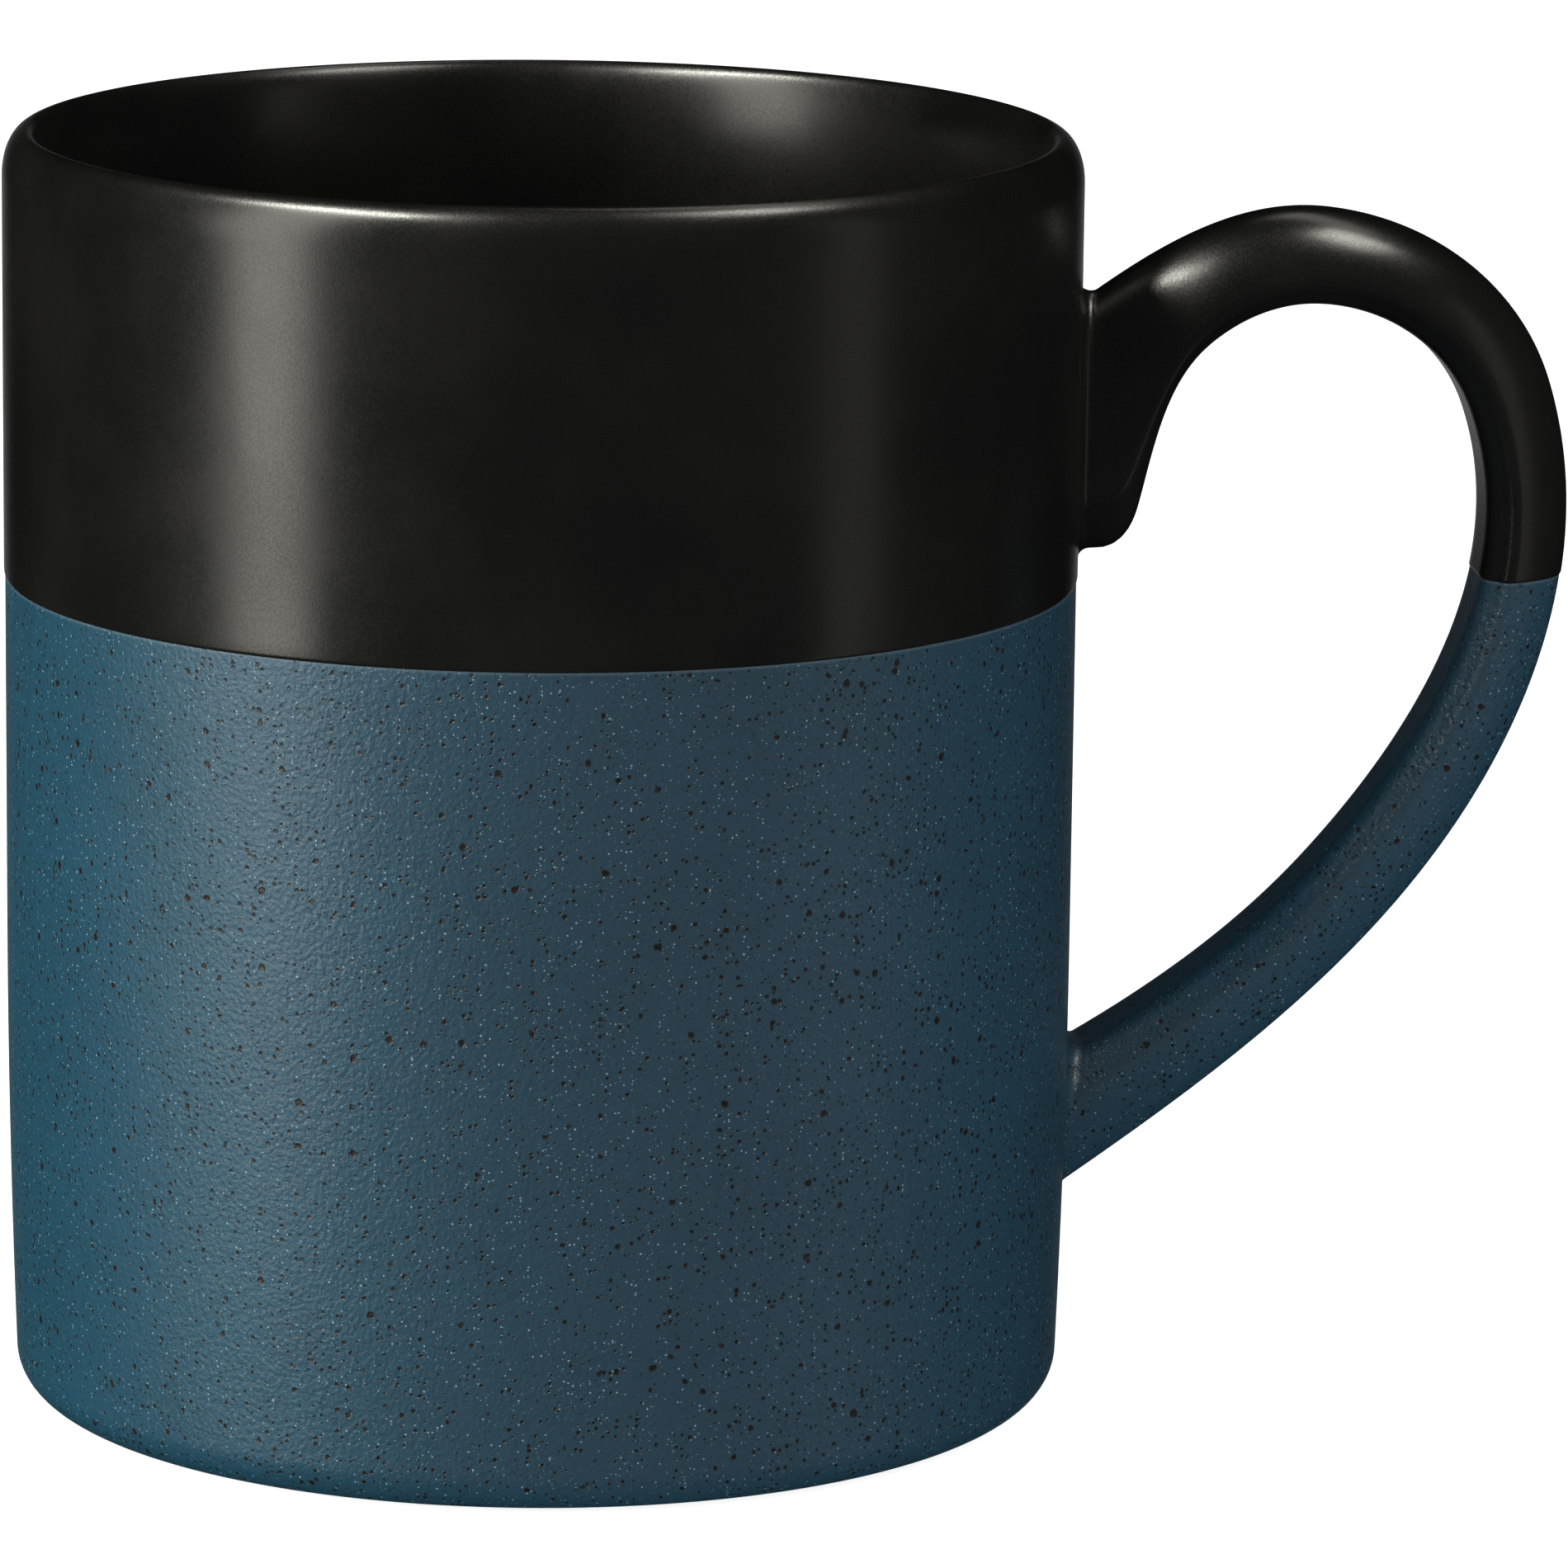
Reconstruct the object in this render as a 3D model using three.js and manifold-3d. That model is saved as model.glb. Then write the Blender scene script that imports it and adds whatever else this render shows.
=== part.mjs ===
// A two-tone stoneware mug: a straight-sided cup with an ear-shaped handle luted to its wall.
// The cup and the handle are clay, two beds of clay slip join them, and two coats of glaze cover
// them: black inside and above the glaze line, speckled blue below it.
//
// Millimetres, +Z up. The origin is the middle of the foot, on the table, and +X points along the
// handle, which lies in the plane y = 0.

import * as THREE from 'three';
import { mergeVertices } from 'three/addons/utils/BufferGeometryUtils.js';
import Module from 'manifold-3d';

// ---- Driving dimensions ------------------------------------------------------------------------

// Clay cup, without its glaze
const RIM_RADIUS = 40.8; // outside of the wall at the rim
const HEIGHT = 97.85; // clay rim above the table
const WALL = 2.85; // thickness of the wall
const DRAFT = 0.1; // the wall is this much narrower at the table than at the rim
const FOOT_PINCH = 0.7; // extra narrowing below PINCH_TOP, growing towards the table
const PINCH_TOP = 37;
const PINCH_BENDS = [12, 23]; // heights below PINCH_TOP where the facets of the wall bend
const BASE_CORNER = 2.9; // radius where the wall turns under
const FLOOR = 6; // inside floor above the table
const FLOOR_CORNER = 7; // radius where the floor turns up into the wall
const LIP_OUTSIDE = { across: 1.4, down: 3 }; // half-axes of the outer round of the lip
const LIP_INSIDE = 9; // the inside thins towards the lip over this height
const FOOT_RADIUS = 36; // bare flat that rests on the table
const FOOT_STEP = 0.5; // the glazed clay stays this far above the table

// Glaze
const GLAZE_LINE = 64.25; // height where black meets blue on the cup
const HANDLE_LINE = 63.35; // and on the handle, where the dipped glaze ran down a little
const BLACK_COAT = 0.45; // the black coat is the thicker one
const BLUE_COAT = 0.35;
const WIPED_BAND = 0.5; // bare clay between the foot and the edge of the blue coat

// Handle, without its glaze. Each key is [out, up, heading]: a point in the plane of the handle
// and the direction in degrees in which the edge passes it, on the way from the upper root over
// the arch to the lower root. Both edges start and end inside the wall of the cup.
const SPANS = [
  {
    // upper root, with its tail running down the wall, up to the top of the arch
    rings: 11,
    outer: [[39.2, 82.65, 36], [60.55, 91.62, -6.6]],
    inner: [[39.2, 66.4, 0], [42.9, 66.4, 2], [45.4, 69.25, 76], [50.85, 82.05, 40.6], [59.7, 85.3, -2.7]],
  },
  {
    // arch to shoulder
    rings: 5,
    outer: [[60.55, 91.62, -6.6], [77.8, 78.15, -72.6]],
    inner: [[59.7, 85.3, -2.7], [72.15, 76.45, -69.9]],
  },
  {
    // the grip
    rings: 7,
    outer: [[77.8, 78.15, -72.6], [65.2, 35.65, -132]],
    inner: [[72.15, 76.45, -69.9], [60.2, 40.25, -132.1]],
  },
  {
    // sweep back to the lower root
    rings: 5,
    outer: [[65.2, 35.65, -132], [39.2, 14.35, -145.3]],
    inner: [[60.2, 40.25, -132.1], [39.2, 24.45, -151]],
  },
];
const HALF_WIDTH = { grip: 4.8, root: 5.6 }; // across the handle, from its middle plane

// Half of a section of the handle, domed outside and flat inside, from the crown of the dome by the
// widest place to the middle of the inner face. It is stretched to fit each section.
const CROWN = 3.4;
const WIDEST = 5.1;
const HALF_SECTION = [
  [0, CROWN, 0],
  [4.85, -0.7, -67],
  [WIDEST, -1.5, -90],
  [4.1, -2.6, -131],
  [1.7, -CROWN, -180],
  [0, -CROWN, -180],
];

// Slip joints
const SLIP_BED = 0.5; // from the wall to the end of the handle
const SLIP_GAP = 0.1; // clearance between the slip and the handle that sits in it
const FILLET_RADIUS = 1.05; // of the smoothed slip between the handle and the wall
const TUCK = 0.05; // a flare of slip ends inside the handle, drawn in by this share
const PROUD = 0.02; // and starts on the wall this far off it, so that no two faces only just touch

// Facets
const CUP_SEGMENTS = 48;
const SECTION_POINTS = 20;
const ARC_STEPS = 4;
const FILLET_STEPS = 3;
const WELD = 1e-4; // points closer than this are one point
const FAR = 300; // beyond the mug in every direction

// ---- Solids ------------------------------------------------------------------------------------

const wasm = await Module();
wasm.setup();

/** The manifold-3d solid of a closed geometry. */
function toSolid(geometry) {
  const bare = geometry.clone();
  bare.deleteAttribute('normal');
  bare.deleteAttribute('uv');
  const merged = mergeVertices(bare, WELD);
  const mesh = new wasm.Mesh({
    numProp: 3,
    vertProperties: new Float32Array(merged.attributes.position.array),
    triVerts: new Uint32Array(merged.index.array),
  });
  const solid = new wasm.Manifold(mesh);
  if (solid.volume() > 0) {
    return solid;
  }
  mesh.triVerts.reverse(); // the faces pointed in
  return new wasm.Manifold(mesh);
}

/** The three.js geometry of a manifold-3d solid. */
function toGeometry(solid) {
  const mesh = solid.getMesh();
  const geometry = new THREE.BufferGeometry();
  geometry.setAttribute('position', new THREE.BufferAttribute(new Float32Array(mesh.vertProperties), 3));
  geometry.setIndex(new THREE.BufferAttribute(new Uint32Array(mesh.triVerts), 1));
  geometry.computeVertexNormals();
  return geometry;
}

/** Turns an outline of [radius, height] pairs about the Z axis. */
function lathe(outline) {
  const points = outline.map(([radius, height]) => new THREE.Vector2(radius, height));
  return toSolid(new THREE.LatheGeometry(points, CUP_SEGMENTS).rotateX(Math.PI / 2));
}

/** The middle of a ring of points. */
function middleOf(ring) {
  return ring.reduce((sum, point) => sum.add(point), new THREE.Vector3()).divideScalar(ring.length);
}

/** Joins a run of equal rings of points into one closed surface, with a fan over each end. */
function loft(rings) {
  const count = rings[0].length;
  const points = [...rings.flat(), middleOf(rings[0]), middleOf(rings.at(-1))];
  const startMiddle = points.length - 2;
  const endMiddle = points.length - 1;
  const lastRing = (rings.length - 1) * count;
  const index = [];
  for (let i = 0; i < count; i++) {
    const next = (i + 1) % count;
    for (let start = 0; start < lastRing; start += count) {
      index.push(start + i, start + next, start + count + i);
      index.push(start + next, start + count + next, start + count + i);
    }
    index.push(startMiddle, next, i);
    index.push(endMiddle, lastRing + i, lastRing + next);
  }
  const geometry = new THREE.BufferGeometry().setFromPoints(points);
  geometry.setIndex(index);
  return toSolid(geometry);
}

// ---- Cup ---------------------------------------------------------------------------------------

/** Outside radius of the clay wall at a height. */
function wallRadius(height) {
  const pinch = Math.max(0, 1 - height / PINCH_TOP);
  return RIM_RADIUS - DRAFT * (1 - height / HEIGHT) - FOOT_PINCH * pinch ** 2;
}

/** A quarter of an ellipse about a centre, from one angle to another, in degrees. */
function quarter(centre, across, up, from, to) {
  return Array.from({ length: ARC_STEPS + 1 }, (_, i) => {
    const angle = THREE.MathUtils.degToRad(from + ((to - from) * i) / ARC_STEPS);
    return [centre[0] + across * Math.cos(angle), centre[1] + up * Math.sin(angle)];
  });
}

/** The outside of the cup, a coat thick, from under the base corner up to a height. */
function lowerOutside(coat, top) {
  const turn = BASE_CORNER + FOOT_STEP;
  const centre = [wallRadius(turn) - BASE_CORNER, turn];
  const corner = quarter(centre, BASE_CORNER + coat, BASE_CORNER + coat, -90, 0);
  const heights = [...PINCH_BENDS, PINCH_TOP, top];
  return [...corner, ...heights.map((height) => [wallRadius(height) + coat, height])];
}

/** The outside above a height, the lip and the inside down to the middle of the floor. */
function upperOutsideAndInside(coat, bottom) {
  const { across, down } = LIP_OUTSIDE;
  const shoulder = HEIGHT - down;
  const throat = HEIGHT - LIP_INSIDE;
  const outside = wallRadius(shoulder);
  const bore = outside - WALL;
  const crest = outside - across;
  return [
    [wallRadius(bottom) + coat, bottom],
    ...quarter([crest, shoulder], across + coat, down + coat, 0, 90),
    ...quarter([crest, throat], crest - bore + coat, LIP_INSIDE + coat, 90, 180).slice(1),
    ...quarter([bore - FLOOR_CORNER, FLOOR + FLOOR_CORNER], FLOOR_CORNER - coat, FLOOR_CORNER - coat, 0, -90),
    [0, FLOOR + coat],
  ];
}

const cupClay = lathe([
  [0, 0],
  [FOOT_RADIUS, 0],
  [FOOT_RADIUS + FOOT_STEP / 2, FOOT_STEP],
  ...lowerOutside(0, GLAZE_LINE),
  ...upperOutsideAndInside(0, GLAZE_LINE).slice(1),
]);

const cupBlackCoat = lathe([
  ...upperOutsideAndInside(0, GLAZE_LINE).reverse(),
  ...upperOutsideAndInside(BLACK_COAT, GLAZE_LINE),
]);

const coatEdge = FOOT_RADIUS + FOOT_STEP / 2 + WIPED_BAND;
const cupBlueCoat = lathe([
  [coatEdge, FOOT_STEP],
  [coatEdge + BLUE_COAT / 2, FOOT_STEP - BLUE_COAT],
  ...lowerOutside(BLUE_COAT, GLAZE_LINE),
  ...lowerOutside(0, GLAZE_LINE).reverse(),
  [coatEdge, FOOT_STEP],
]);

/** The cup as a filled body, a coat thick, for trimming the handle. */
function filledCup(coat) {
  return lathe([[0, 0], ...lowerOutside(coat, HEIGHT), [0, HEIGHT]]);
}

// ---- Handle ------------------------------------------------------------------------------------

const direction = (degrees) => {
  const angle = THREE.MathUtils.degToRad(degrees);
  return new THREE.Vector2(Math.cos(angle), Math.sin(angle));
};

/** A smooth curve through the keys, passing each one at its heading. */
function edgeCurve(keys) {
  const path = new THREE.CurvePath();
  for (let i = 1; i < keys.length; i++) {
    const [from, to] = [keys[i - 1], keys[i]];
    const start = new THREE.Vector2(from[0], from[1]);
    const end = new THREE.Vector2(to[0], to[1]);
    const turn = THREE.MathUtils.degToRad(to[2] - from[2]);
    const pull = (start.distanceTo(end) * (2 / 3)) / (1 + Math.cos(turn / 2)); // as for a round arc
    const leave = start.clone().addScaledVector(direction(from[2]), pull);
    const arrive = end.clone().addScaledVector(direction(to[2]), -pull);
    path.add(new THREE.CubicBezierCurve(start, leave, arrive, end));
  }
  return path;
}

/** A point at a share of a curve's length, moved to the left of the curve by an offset. */
function besideCurve(curve, share, offset) {
  const tangent = curve.getTangentAt(share);
  return curve.getPointAt(share).add(new THREE.Vector2(-tangent.y, tangent.x).multiplyScalar(offset));
}

/** Matching pairs of points on the outer and the inner edge of the handle, grown by a coat, from the
 * upper to the lower root. */
function edgePairs(coat) {
  const pairs = [];
  for (const { rings, outer, inner } of SPANS) {
    const outerCurve = edgeCurve(outer);
    const innerCurve = edgeCurve(inner);
    for (let i = pairs.length ? 1 : 0; i <= rings; i++) {
      pairs.push([besideCurve(outerCurve, i / rings, coat), besideCurve(innerCurve, i / rings, -coat)]);
    }
  }
  return pairs;
}

const halfSection = edgeCurve(HALF_SECTION).getSpacedPoints(SECTION_POINTS / 2);

/** One closed section of the handle between two points of its edges. */
function section(outer, inner, halfWidth) {
  const middle = outer.clone().add(inner).divideScalar(2);
  const thick = outer.clone().sub(middle).divideScalar(CROWN);
  const wide = halfWidth / WIDEST;
  const place = (point, side) =>
    new THREE.Vector3(middle.x + thick.x * point.y, side * wide * point.x, middle.y + thick.y * point.y);
  const right = halfSection.map((point) => place(point, 1));
  const left = halfSection.slice(1, -1).map((point) => place(point, -1));
  return [...right, ...left.reverse()];
}

/** All sections of the handle, wider at the roots than in the grip. */
function handleSections(coat) {
  const pairs = edgePairs(coat);
  return pairs.map(([outer, inner], i) => {
    const fromMiddle = (2 * i) / (pairs.length - 1) - 1;
    const halfWidth = THREE.MathUtils.lerp(HALF_WIDTH.grip, HALF_WIDTH.root, fromMiddle ** 4);
    return section(outer, inner, halfWidth + coat);
  });
}

// ---- Slip joints -------------------------------------------------------------------------------

/** How far a point stands off the clay wall of the cup. */
const standOff = (point) => Math.hypot(point.x, point.y) - wallRadius(point.z);

/** How far round the wall a point lies from the plane of the handle. */
const around = (point) => Math.atan2(point.y, point.x) * RIM_RADIUS;

/** The part of a line of points that stands a coat or more off the wall. */
function offWall(line, coat) {
  const first = line.findIndex((point) => standOff(point) > coat);
  const below = standOff(line[first - 1]) - coat;
  const above = standOff(line[first]) - coat;
  const foot = line[first - 1].clone().lerp(line[first], -below / (above - below));
  return [foot, ...line.slice(first)];
}

/** The point a distance along a line of points. */
function follow(line, distance) {
  let left = distance;
  for (let i = 1; i < line.length; i++) {
    const step = line[i - 1].distanceTo(line[i]);
    if (step >= left) {
      return line[i - 1].clone().lerp(line[i], left / step);
    }
    left -= step;
  }
  throw new Error('the handle is shorter than its fillet');
}

/** A point of the round arc that touches both legs of a corner. */
function roundCorner(start, corner, end, halfAngle, share) {
  const weights = [(1 - share) ** 2, 2 * Math.sin(halfAngle) * share * (1 - share), share ** 2];
  const point = start.clone().multiplyScalar(weights[0]);
  point.addScaledVector(corner, weights[1]).addScaledVector(end, weights[2]);
  return point.divideScalar(weights[0] + weights[1] + weights[2]);
}

/** The direction on the wall, as [round, up], that leads straight away from a ring of feet at one. */
function awayFrom(feet, i) {
  const count = feet.length;
  const before = feet[(i + count - 1) % count];
  const after = feet[(i + 1) % count];
  const away = new THREE.Vector2(after.z - before.z, around(before) - around(after)).normalize();
  const middle = middleOf(feet);
  const side = new THREE.Vector2(around(feet[i]) - around(middle), feet[i].z - middle.z);
  return away.multiplyScalar(Math.sign(away.dot(side)));
}

/** The slip under one line of the handle: from inside the wall, over its face and up a round fillet. */
function fillet(line, away, coat) {
  const foot = line[0];
  const turn = Math.atan2(foot.y, foot.x);
  const alongWall = new THREE.Vector3(-Math.sin(turn) * away.x, Math.cos(turn) * away.x, away.y);
  const leaving = follow(line, FILLET_RADIUS).sub(foot);
  const halfAngle = alongWall.angleTo(leaving) / 2;
  const reach = FILLET_RADIUS / Math.tan(halfAngle);
  const angle = turn + (away.x * reach) / RIM_RADIUS;
  const height = foot.z + away.y * reach;
  const atRadius = (radius) => new THREE.Vector3(radius * Math.cos(angle), radius * Math.sin(angle), height);
  const start = atRadius(wallRadius(height) + coat + PROUD);
  const end = follow(line, reach);
  const points = [atRadius(wallRadius(height) - WALL / 2)];
  for (let k = 0; k <= FILLET_STEPS; k++) {
    points.push(roundCorner(start, foot, end, halfAngle, k / FILLET_STEPS));
  }
  return points;
}

/** The flared mass of slip round a root, from inside the wall to just under the handle's skin. */
function rootFlare(sections, coat) {
  const lines = sections[0].map((_, i) => offWall(sections.map((ring) => ring[i]), coat));
  const feet = lines.map((line) => line[0]);
  const fillets = lines.map((line, i) => fillet(line, awayFrom(feet, i), coat));
  const rings = fillets[0].map((_, k) => fillets.map((points) => points[k]));
  const shoulders = rings.at(-1);
  const heart = middleOf(shoulders);
  return loft([...rings, shoulders.map((point) => point.clone().lerp(heart, TUCK))]);
}

/** The handle and both flared roots in one body, a coat thick. */
function handleMass(coat) {
  const sections = handleSections(coat);
  return loft(sections)
    .add(rootFlare(sections, coat))
    .add(rootFlare(sections.toReversed(), coat));
}

// ---- Pieces ------------------------------------------------------------------------------------

/** A slab as wide as any mug, between two heights. */
function slab(bottom, top) {
  const box = new THREE.BoxGeometry(FAR, FAR, top - bottom);
  return toSolid(box.translate(0, 0, (top + bottom) / 2));
}

const upperHalf = slab(HANDLE_LINE, FAR);
const lowerHalf = slab(-FAR, HANDLE_LINE);

/** The one real body of a trimmed solid, without the dust that touching surfaces can leave. */
function mainBody(solid) {
  return solid.decompose().reduce((main, body) => (body.volume() > main.volume() ? body : main));
}

const handleClay = loft(handleSections(0)).subtract(filledCup(SLIP_BED));
const rooted = handleMass(0);
const handleHole = loft(handleSections(SLIP_GAP)).subtract(filledCup(SLIP_BED - SLIP_GAP));
const slip = rooted.subtract(cupClay.add(handleHole));
const underGlaze = cupClay.add(rooted);

/** A coat on the cup joined to the coat on its half of the handle, cleared of all clay and slip. */
function wholeCoat(onCup, thickness, half) {
  return onCup.add(handleMass(thickness).intersect(half)).subtract(underGlaze);
}

const clay = { color: 0xb8a288, roughness: 0.9, metalness: 0 };
const driedSlip = { color: 0xa9937a, roughness: 0.95, metalness: 0 };
const blackGlaze = { color: 0x191917, roughness: 0.3, metalness: 0 };
const blueGlaze = { color: 0x4b667a, roughness: 0.6, metalness: 0 };

const mug = new THREE.Group();

/** Adds one piece of the mug. */
function addPiece(name, solid, finish) {
  const mesh = new THREE.Mesh(toGeometry(mainBody(solid)), new THREE.MeshStandardMaterial(finish));
  mesh.name = name;
  mug.add(mesh);
}

addPiece('cup_body', cupClay, clay);
addPiece('handle', handleClay, clay);
addPiece('upper_slip_joint', slip.intersect(upperHalf), driedSlip);
addPiece('lower_slip_joint', slip.intersect(lowerHalf), driedSlip);
addPiece('black_glaze', wholeCoat(cupBlackCoat, BLACK_COAT, upperHalf), blackGlaze);
addPiece('blue_glaze', wholeCoat(cupBlueCoat, BLUE_COAT, lowerHalf), blueGlaze);

export default mug;
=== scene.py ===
"""A two-tone stoneware mug: satin black glaze over speckled matte blue, with an ear-shaped handle.

Every CAD node is replaced by a smooth closed mesh of the same thing at the same size: the clay cup, the clay
handle, the two beds of slip that lute it on, and the black and the blue coat of glaze. Lengths here are
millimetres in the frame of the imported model: the foot stands at the origin and the handle lies in the
plane y = 0. They become metres when a mesh, a light or a texture is made.
"""

import math

import bmesh
import bpy
import numpy as np
from mathutils import Matrix, Vector


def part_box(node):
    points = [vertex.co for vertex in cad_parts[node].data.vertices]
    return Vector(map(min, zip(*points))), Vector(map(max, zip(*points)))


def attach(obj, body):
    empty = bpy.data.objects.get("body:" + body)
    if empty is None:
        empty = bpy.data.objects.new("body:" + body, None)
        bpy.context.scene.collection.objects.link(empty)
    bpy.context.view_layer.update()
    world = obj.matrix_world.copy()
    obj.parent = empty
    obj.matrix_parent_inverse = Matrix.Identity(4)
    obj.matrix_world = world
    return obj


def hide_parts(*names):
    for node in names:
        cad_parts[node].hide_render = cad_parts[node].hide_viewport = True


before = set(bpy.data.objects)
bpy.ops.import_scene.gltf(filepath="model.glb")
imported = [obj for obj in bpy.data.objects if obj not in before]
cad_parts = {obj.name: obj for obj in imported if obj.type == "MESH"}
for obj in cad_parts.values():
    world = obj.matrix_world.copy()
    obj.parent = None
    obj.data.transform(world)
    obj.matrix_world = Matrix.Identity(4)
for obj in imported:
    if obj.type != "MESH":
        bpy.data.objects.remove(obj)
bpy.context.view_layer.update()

MM = 0.001


# ---- Sizes -----------------------------------------------------------------------------------

def low(node):
    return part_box(node)[0] / MM


def high(node):
    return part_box(node)[1] / MM


GLAZE_LINE = high("blue_glaze").z
HANDLE_LINE = 63.35  # the glaze line on the handle
HEIGHT = high("cup_body").z  # of the clay, as are all the sizes that don't name a coat
WALL_RADIUS = high("cup_body").y
BLACK_COAT = high("black_glaze").z - HEIGHT
FOOT_STEP = 0.5  # the bare foot stands this far out below the base
BLUE_COAT = FOOT_STEP - low("blue_glaze").z
WALL = 2.85
DRAFT = 0.1  # how much the wall widens from the foot to the lip
FOOT_PINCH = 0.7  # how far the wall draws in at the foot, over and above its draft
PINCH_TOP = 37  # the height at which it begins to draw in
BASE_CORNER = 2.9  # radius
FOOT_RADIUS = 36
WIPED_BAND = 0.5  # bare clay between the foot and the edge of the blue coat
WIPED_EDGE = FOOT_RADIUS + FOOT_STEP / 2 + WIPED_BAND
FLOOR = 6
FLOOR_CORNER = 7  # radius inside
LIP_ACROSS = 1.4  # the outside of the lip is a quarter of an ellipse, so wide
LIP_DOWN = 3  # and so tall
LIP_INSIDE = 9  # the inside thins towards the lip over this height
LINE_BEAD = 0.3  # how far up the black coat takes to reach its full thickness above the glaze line
FOOT_BEAD = 0.35  # how far out from its wiped edge the blue coat takes to do the same
LINE_TUCK = 0.05  # the black bead starts this share of its coat under the skin of the blue
WIPED_SHARE = 0.1  # of its thickness that the blue coat keeps at its wiped edge
HANDLE_START = WALL_RADIUS + 5  # beyond this radius there is only the handle

# The edges of the handle in its plane: keys of [out, up, heading in degrees], from the upper root over the
# arch and down to the lower root. The inner edge begins with the tail under the upper root.
OUTER_EDGE = [
    (39.2, 82.65, 36),
    (60.55, 91.62, -6.6),
    (77.8, 78.15, -72.6),
    (65.2, 35.65, -132),
    (39.2, 14.35, -145.3),
]
INNER_TAIL = [(39.2, 66.4, 0), (42.9, 66.4, 2), (45.4, 69.25, 76), (50.85, 82.05, 40.6)]
INNER_EDGE = [(59.7, 85.3, -2.7), (72.15, 76.45, -69.9), (60.2, 40.25, -132.1), (39.2, 24.45, -151)]
HALF_WIDTH_GRIP = 4.8
HALF_WIDTH_ROOT = 5.6
FILLET_RADIUS = 1.05  # of the smoothed slip between the handle and the wall

# Half of a section of the handle, domed outside and flat inside: keys of [side, rise, heading in degrees]
# from the crown of the dome by the widest place to the middle of the inner face. It is stretched to fit
# each section.
CROWN = 3.4
WIDEST = 5.1
HALF_SECTION = [
    (0, CROWN, 0),
    (4.85, -0.7, -67),
    (WIDEST, -1.5, -90),
    (4.1, -2.6, -131),
    (1.7, -CROWN, -180),
    (0, -CROWN, -180),
]

# The density of the meshes: rows and steps along each stretch
CUP_SEGMENTS = 160
LIP_ROWS = 16
LIP_INSIDE_ROWS = 24
BORE_ROWS = 32
CORNER_ROWS = 10
FLOOR_ROWS = 12
BASE_CORNER_ROWS = 14
FOOT_EDGE_ROWS = 3
BESIDE_WINDOW_ROWS = 5  # of the wall between a window and the lip or the base corner
BELOW_LINE_ROWS = 30
ROOT_HALF_SPAN = 7  # cup segments on each side of the handle that a window round a root takes up
ROOT_ROWS = 26
SECTION_POINTS = 4 * ROOT_HALF_SPAN + 2 * ROOT_ROWS
CURVE_STEPS = 60
SPAN_STEPS = [48, 24, 36, 28]
PATCH_ROWS = 6
FILLET_STEPS = 8
GRIP_ROWS = 130
GRIP_CROWDING = 1.3  # above 1, the rows of the grip stand closer together near its root
BEAD_STEPS = 5
LID_ROWS = 4
WELD = 0.0005  # points closer than this are one
SHARP = 50  # degrees between faces that meet in a hard edge

# The heights between which a window is left in the wall, for the handle to grow out of
UPPER_WINDOW = (GLAZE_LINE + LINE_BEAD, 88.5)
LOWER_WINDOW = (8.5, 32.5)


# ---- Curves and rows of points ---------------------------------------------------------------

def lerp(a, b, share):
    return a + (b - a) * share


def follow(line, distances):
    """The points at these distances along a line of points."""
    gaps = np.linalg.norm(np.diff(line, axis=0), axis=1)
    run = np.concatenate([[0], np.cumsum(gaps)])
    return np.column_stack([np.interp(distances, run, axis) for axis in line.T])


def length(line):
    return np.linalg.norm(np.diff(line, axis=0), axis=1).sum()


def evenly(line, count):
    """count + 1 points at equal steps along a line."""
    return follow(line, np.linspace(0, length(line), count + 1))


def arc(centre, across, up, start, end, count):
    """count + 1 points of an ellipse between two angles in degrees."""
    angle = np.radians(np.linspace(start, end, count + 1))
    return np.column_stack([centre[0] + across * np.cos(angle), centre[1] + up * np.sin(angle)])


def straight(start, end, count):
    return np.linspace(start, end, count + 1)


def bead(distance, width):
    """From 0 to 1 on a quarter round, as the edge of a coat swells over a width."""
    share = np.clip(distance / width, 0, 1)
    return np.sqrt(1 - (1 - share) ** 2)


# ---- The cup ---------------------------------------------------------------------------------

def wall_radius(height):
    """Outside radius of the clay wall at a height."""
    pinch = np.maximum(0, 1 - height / PINCH_TOP)
    return WALL_RADIUS - DRAFT * (1 - height / HEIGHT) - FOOT_PINCH * pinch**2


def wall(coat, heights):
    return np.column_stack([wall_radius(heights) + coat, heights])


def upper_outline(coat):
    """[radius, height] from the glaze line up over the lip and down to the middle of the floor."""
    shoulder = HEIGHT - LIP_DOWN
    outside = wall_radius(shoulder)
    bore = outside - WALL
    crest = outside - LIP_ACROSS
    throat = HEIGHT - LIP_INSIDE
    corner = [bore - FLOOR_CORNER, FLOOR + FLOOR_CORNER]
    edge = GLAZE_LINE + LINE_BEAD * (1 - np.cos(np.linspace(0, math.pi / 2, BEAD_STEPS + 1)))
    return np.vstack([
        wall(coat, edge),
        wall(coat, np.linspace(*UPPER_WINDOW, ROOT_ROWS + 1)[1:]),
        wall(coat, np.linspace(UPPER_WINDOW[1], shoulder, BESIDE_WINDOW_ROWS)[1:-1]),
        arc([crest, shoulder], LIP_ACROSS + coat, LIP_DOWN + coat, 0, 90, LIP_ROWS),
        arc([crest, throat], crest - bore + coat, LIP_INSIDE + coat, 90, 180, LIP_INSIDE_ROWS)[1:],
        straight([bore - coat, throat], [bore - coat, corner[1]], BORE_ROWS)[1:-1],
        arc(corner, FLOOR_CORNER - coat, FLOOR_CORNER - coat, 0, -90, CORNER_ROWS),
        straight([corner[0], FLOOR + coat], [0, FLOOR + coat], FLOOR_ROWS)[1:],
    ])


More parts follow.
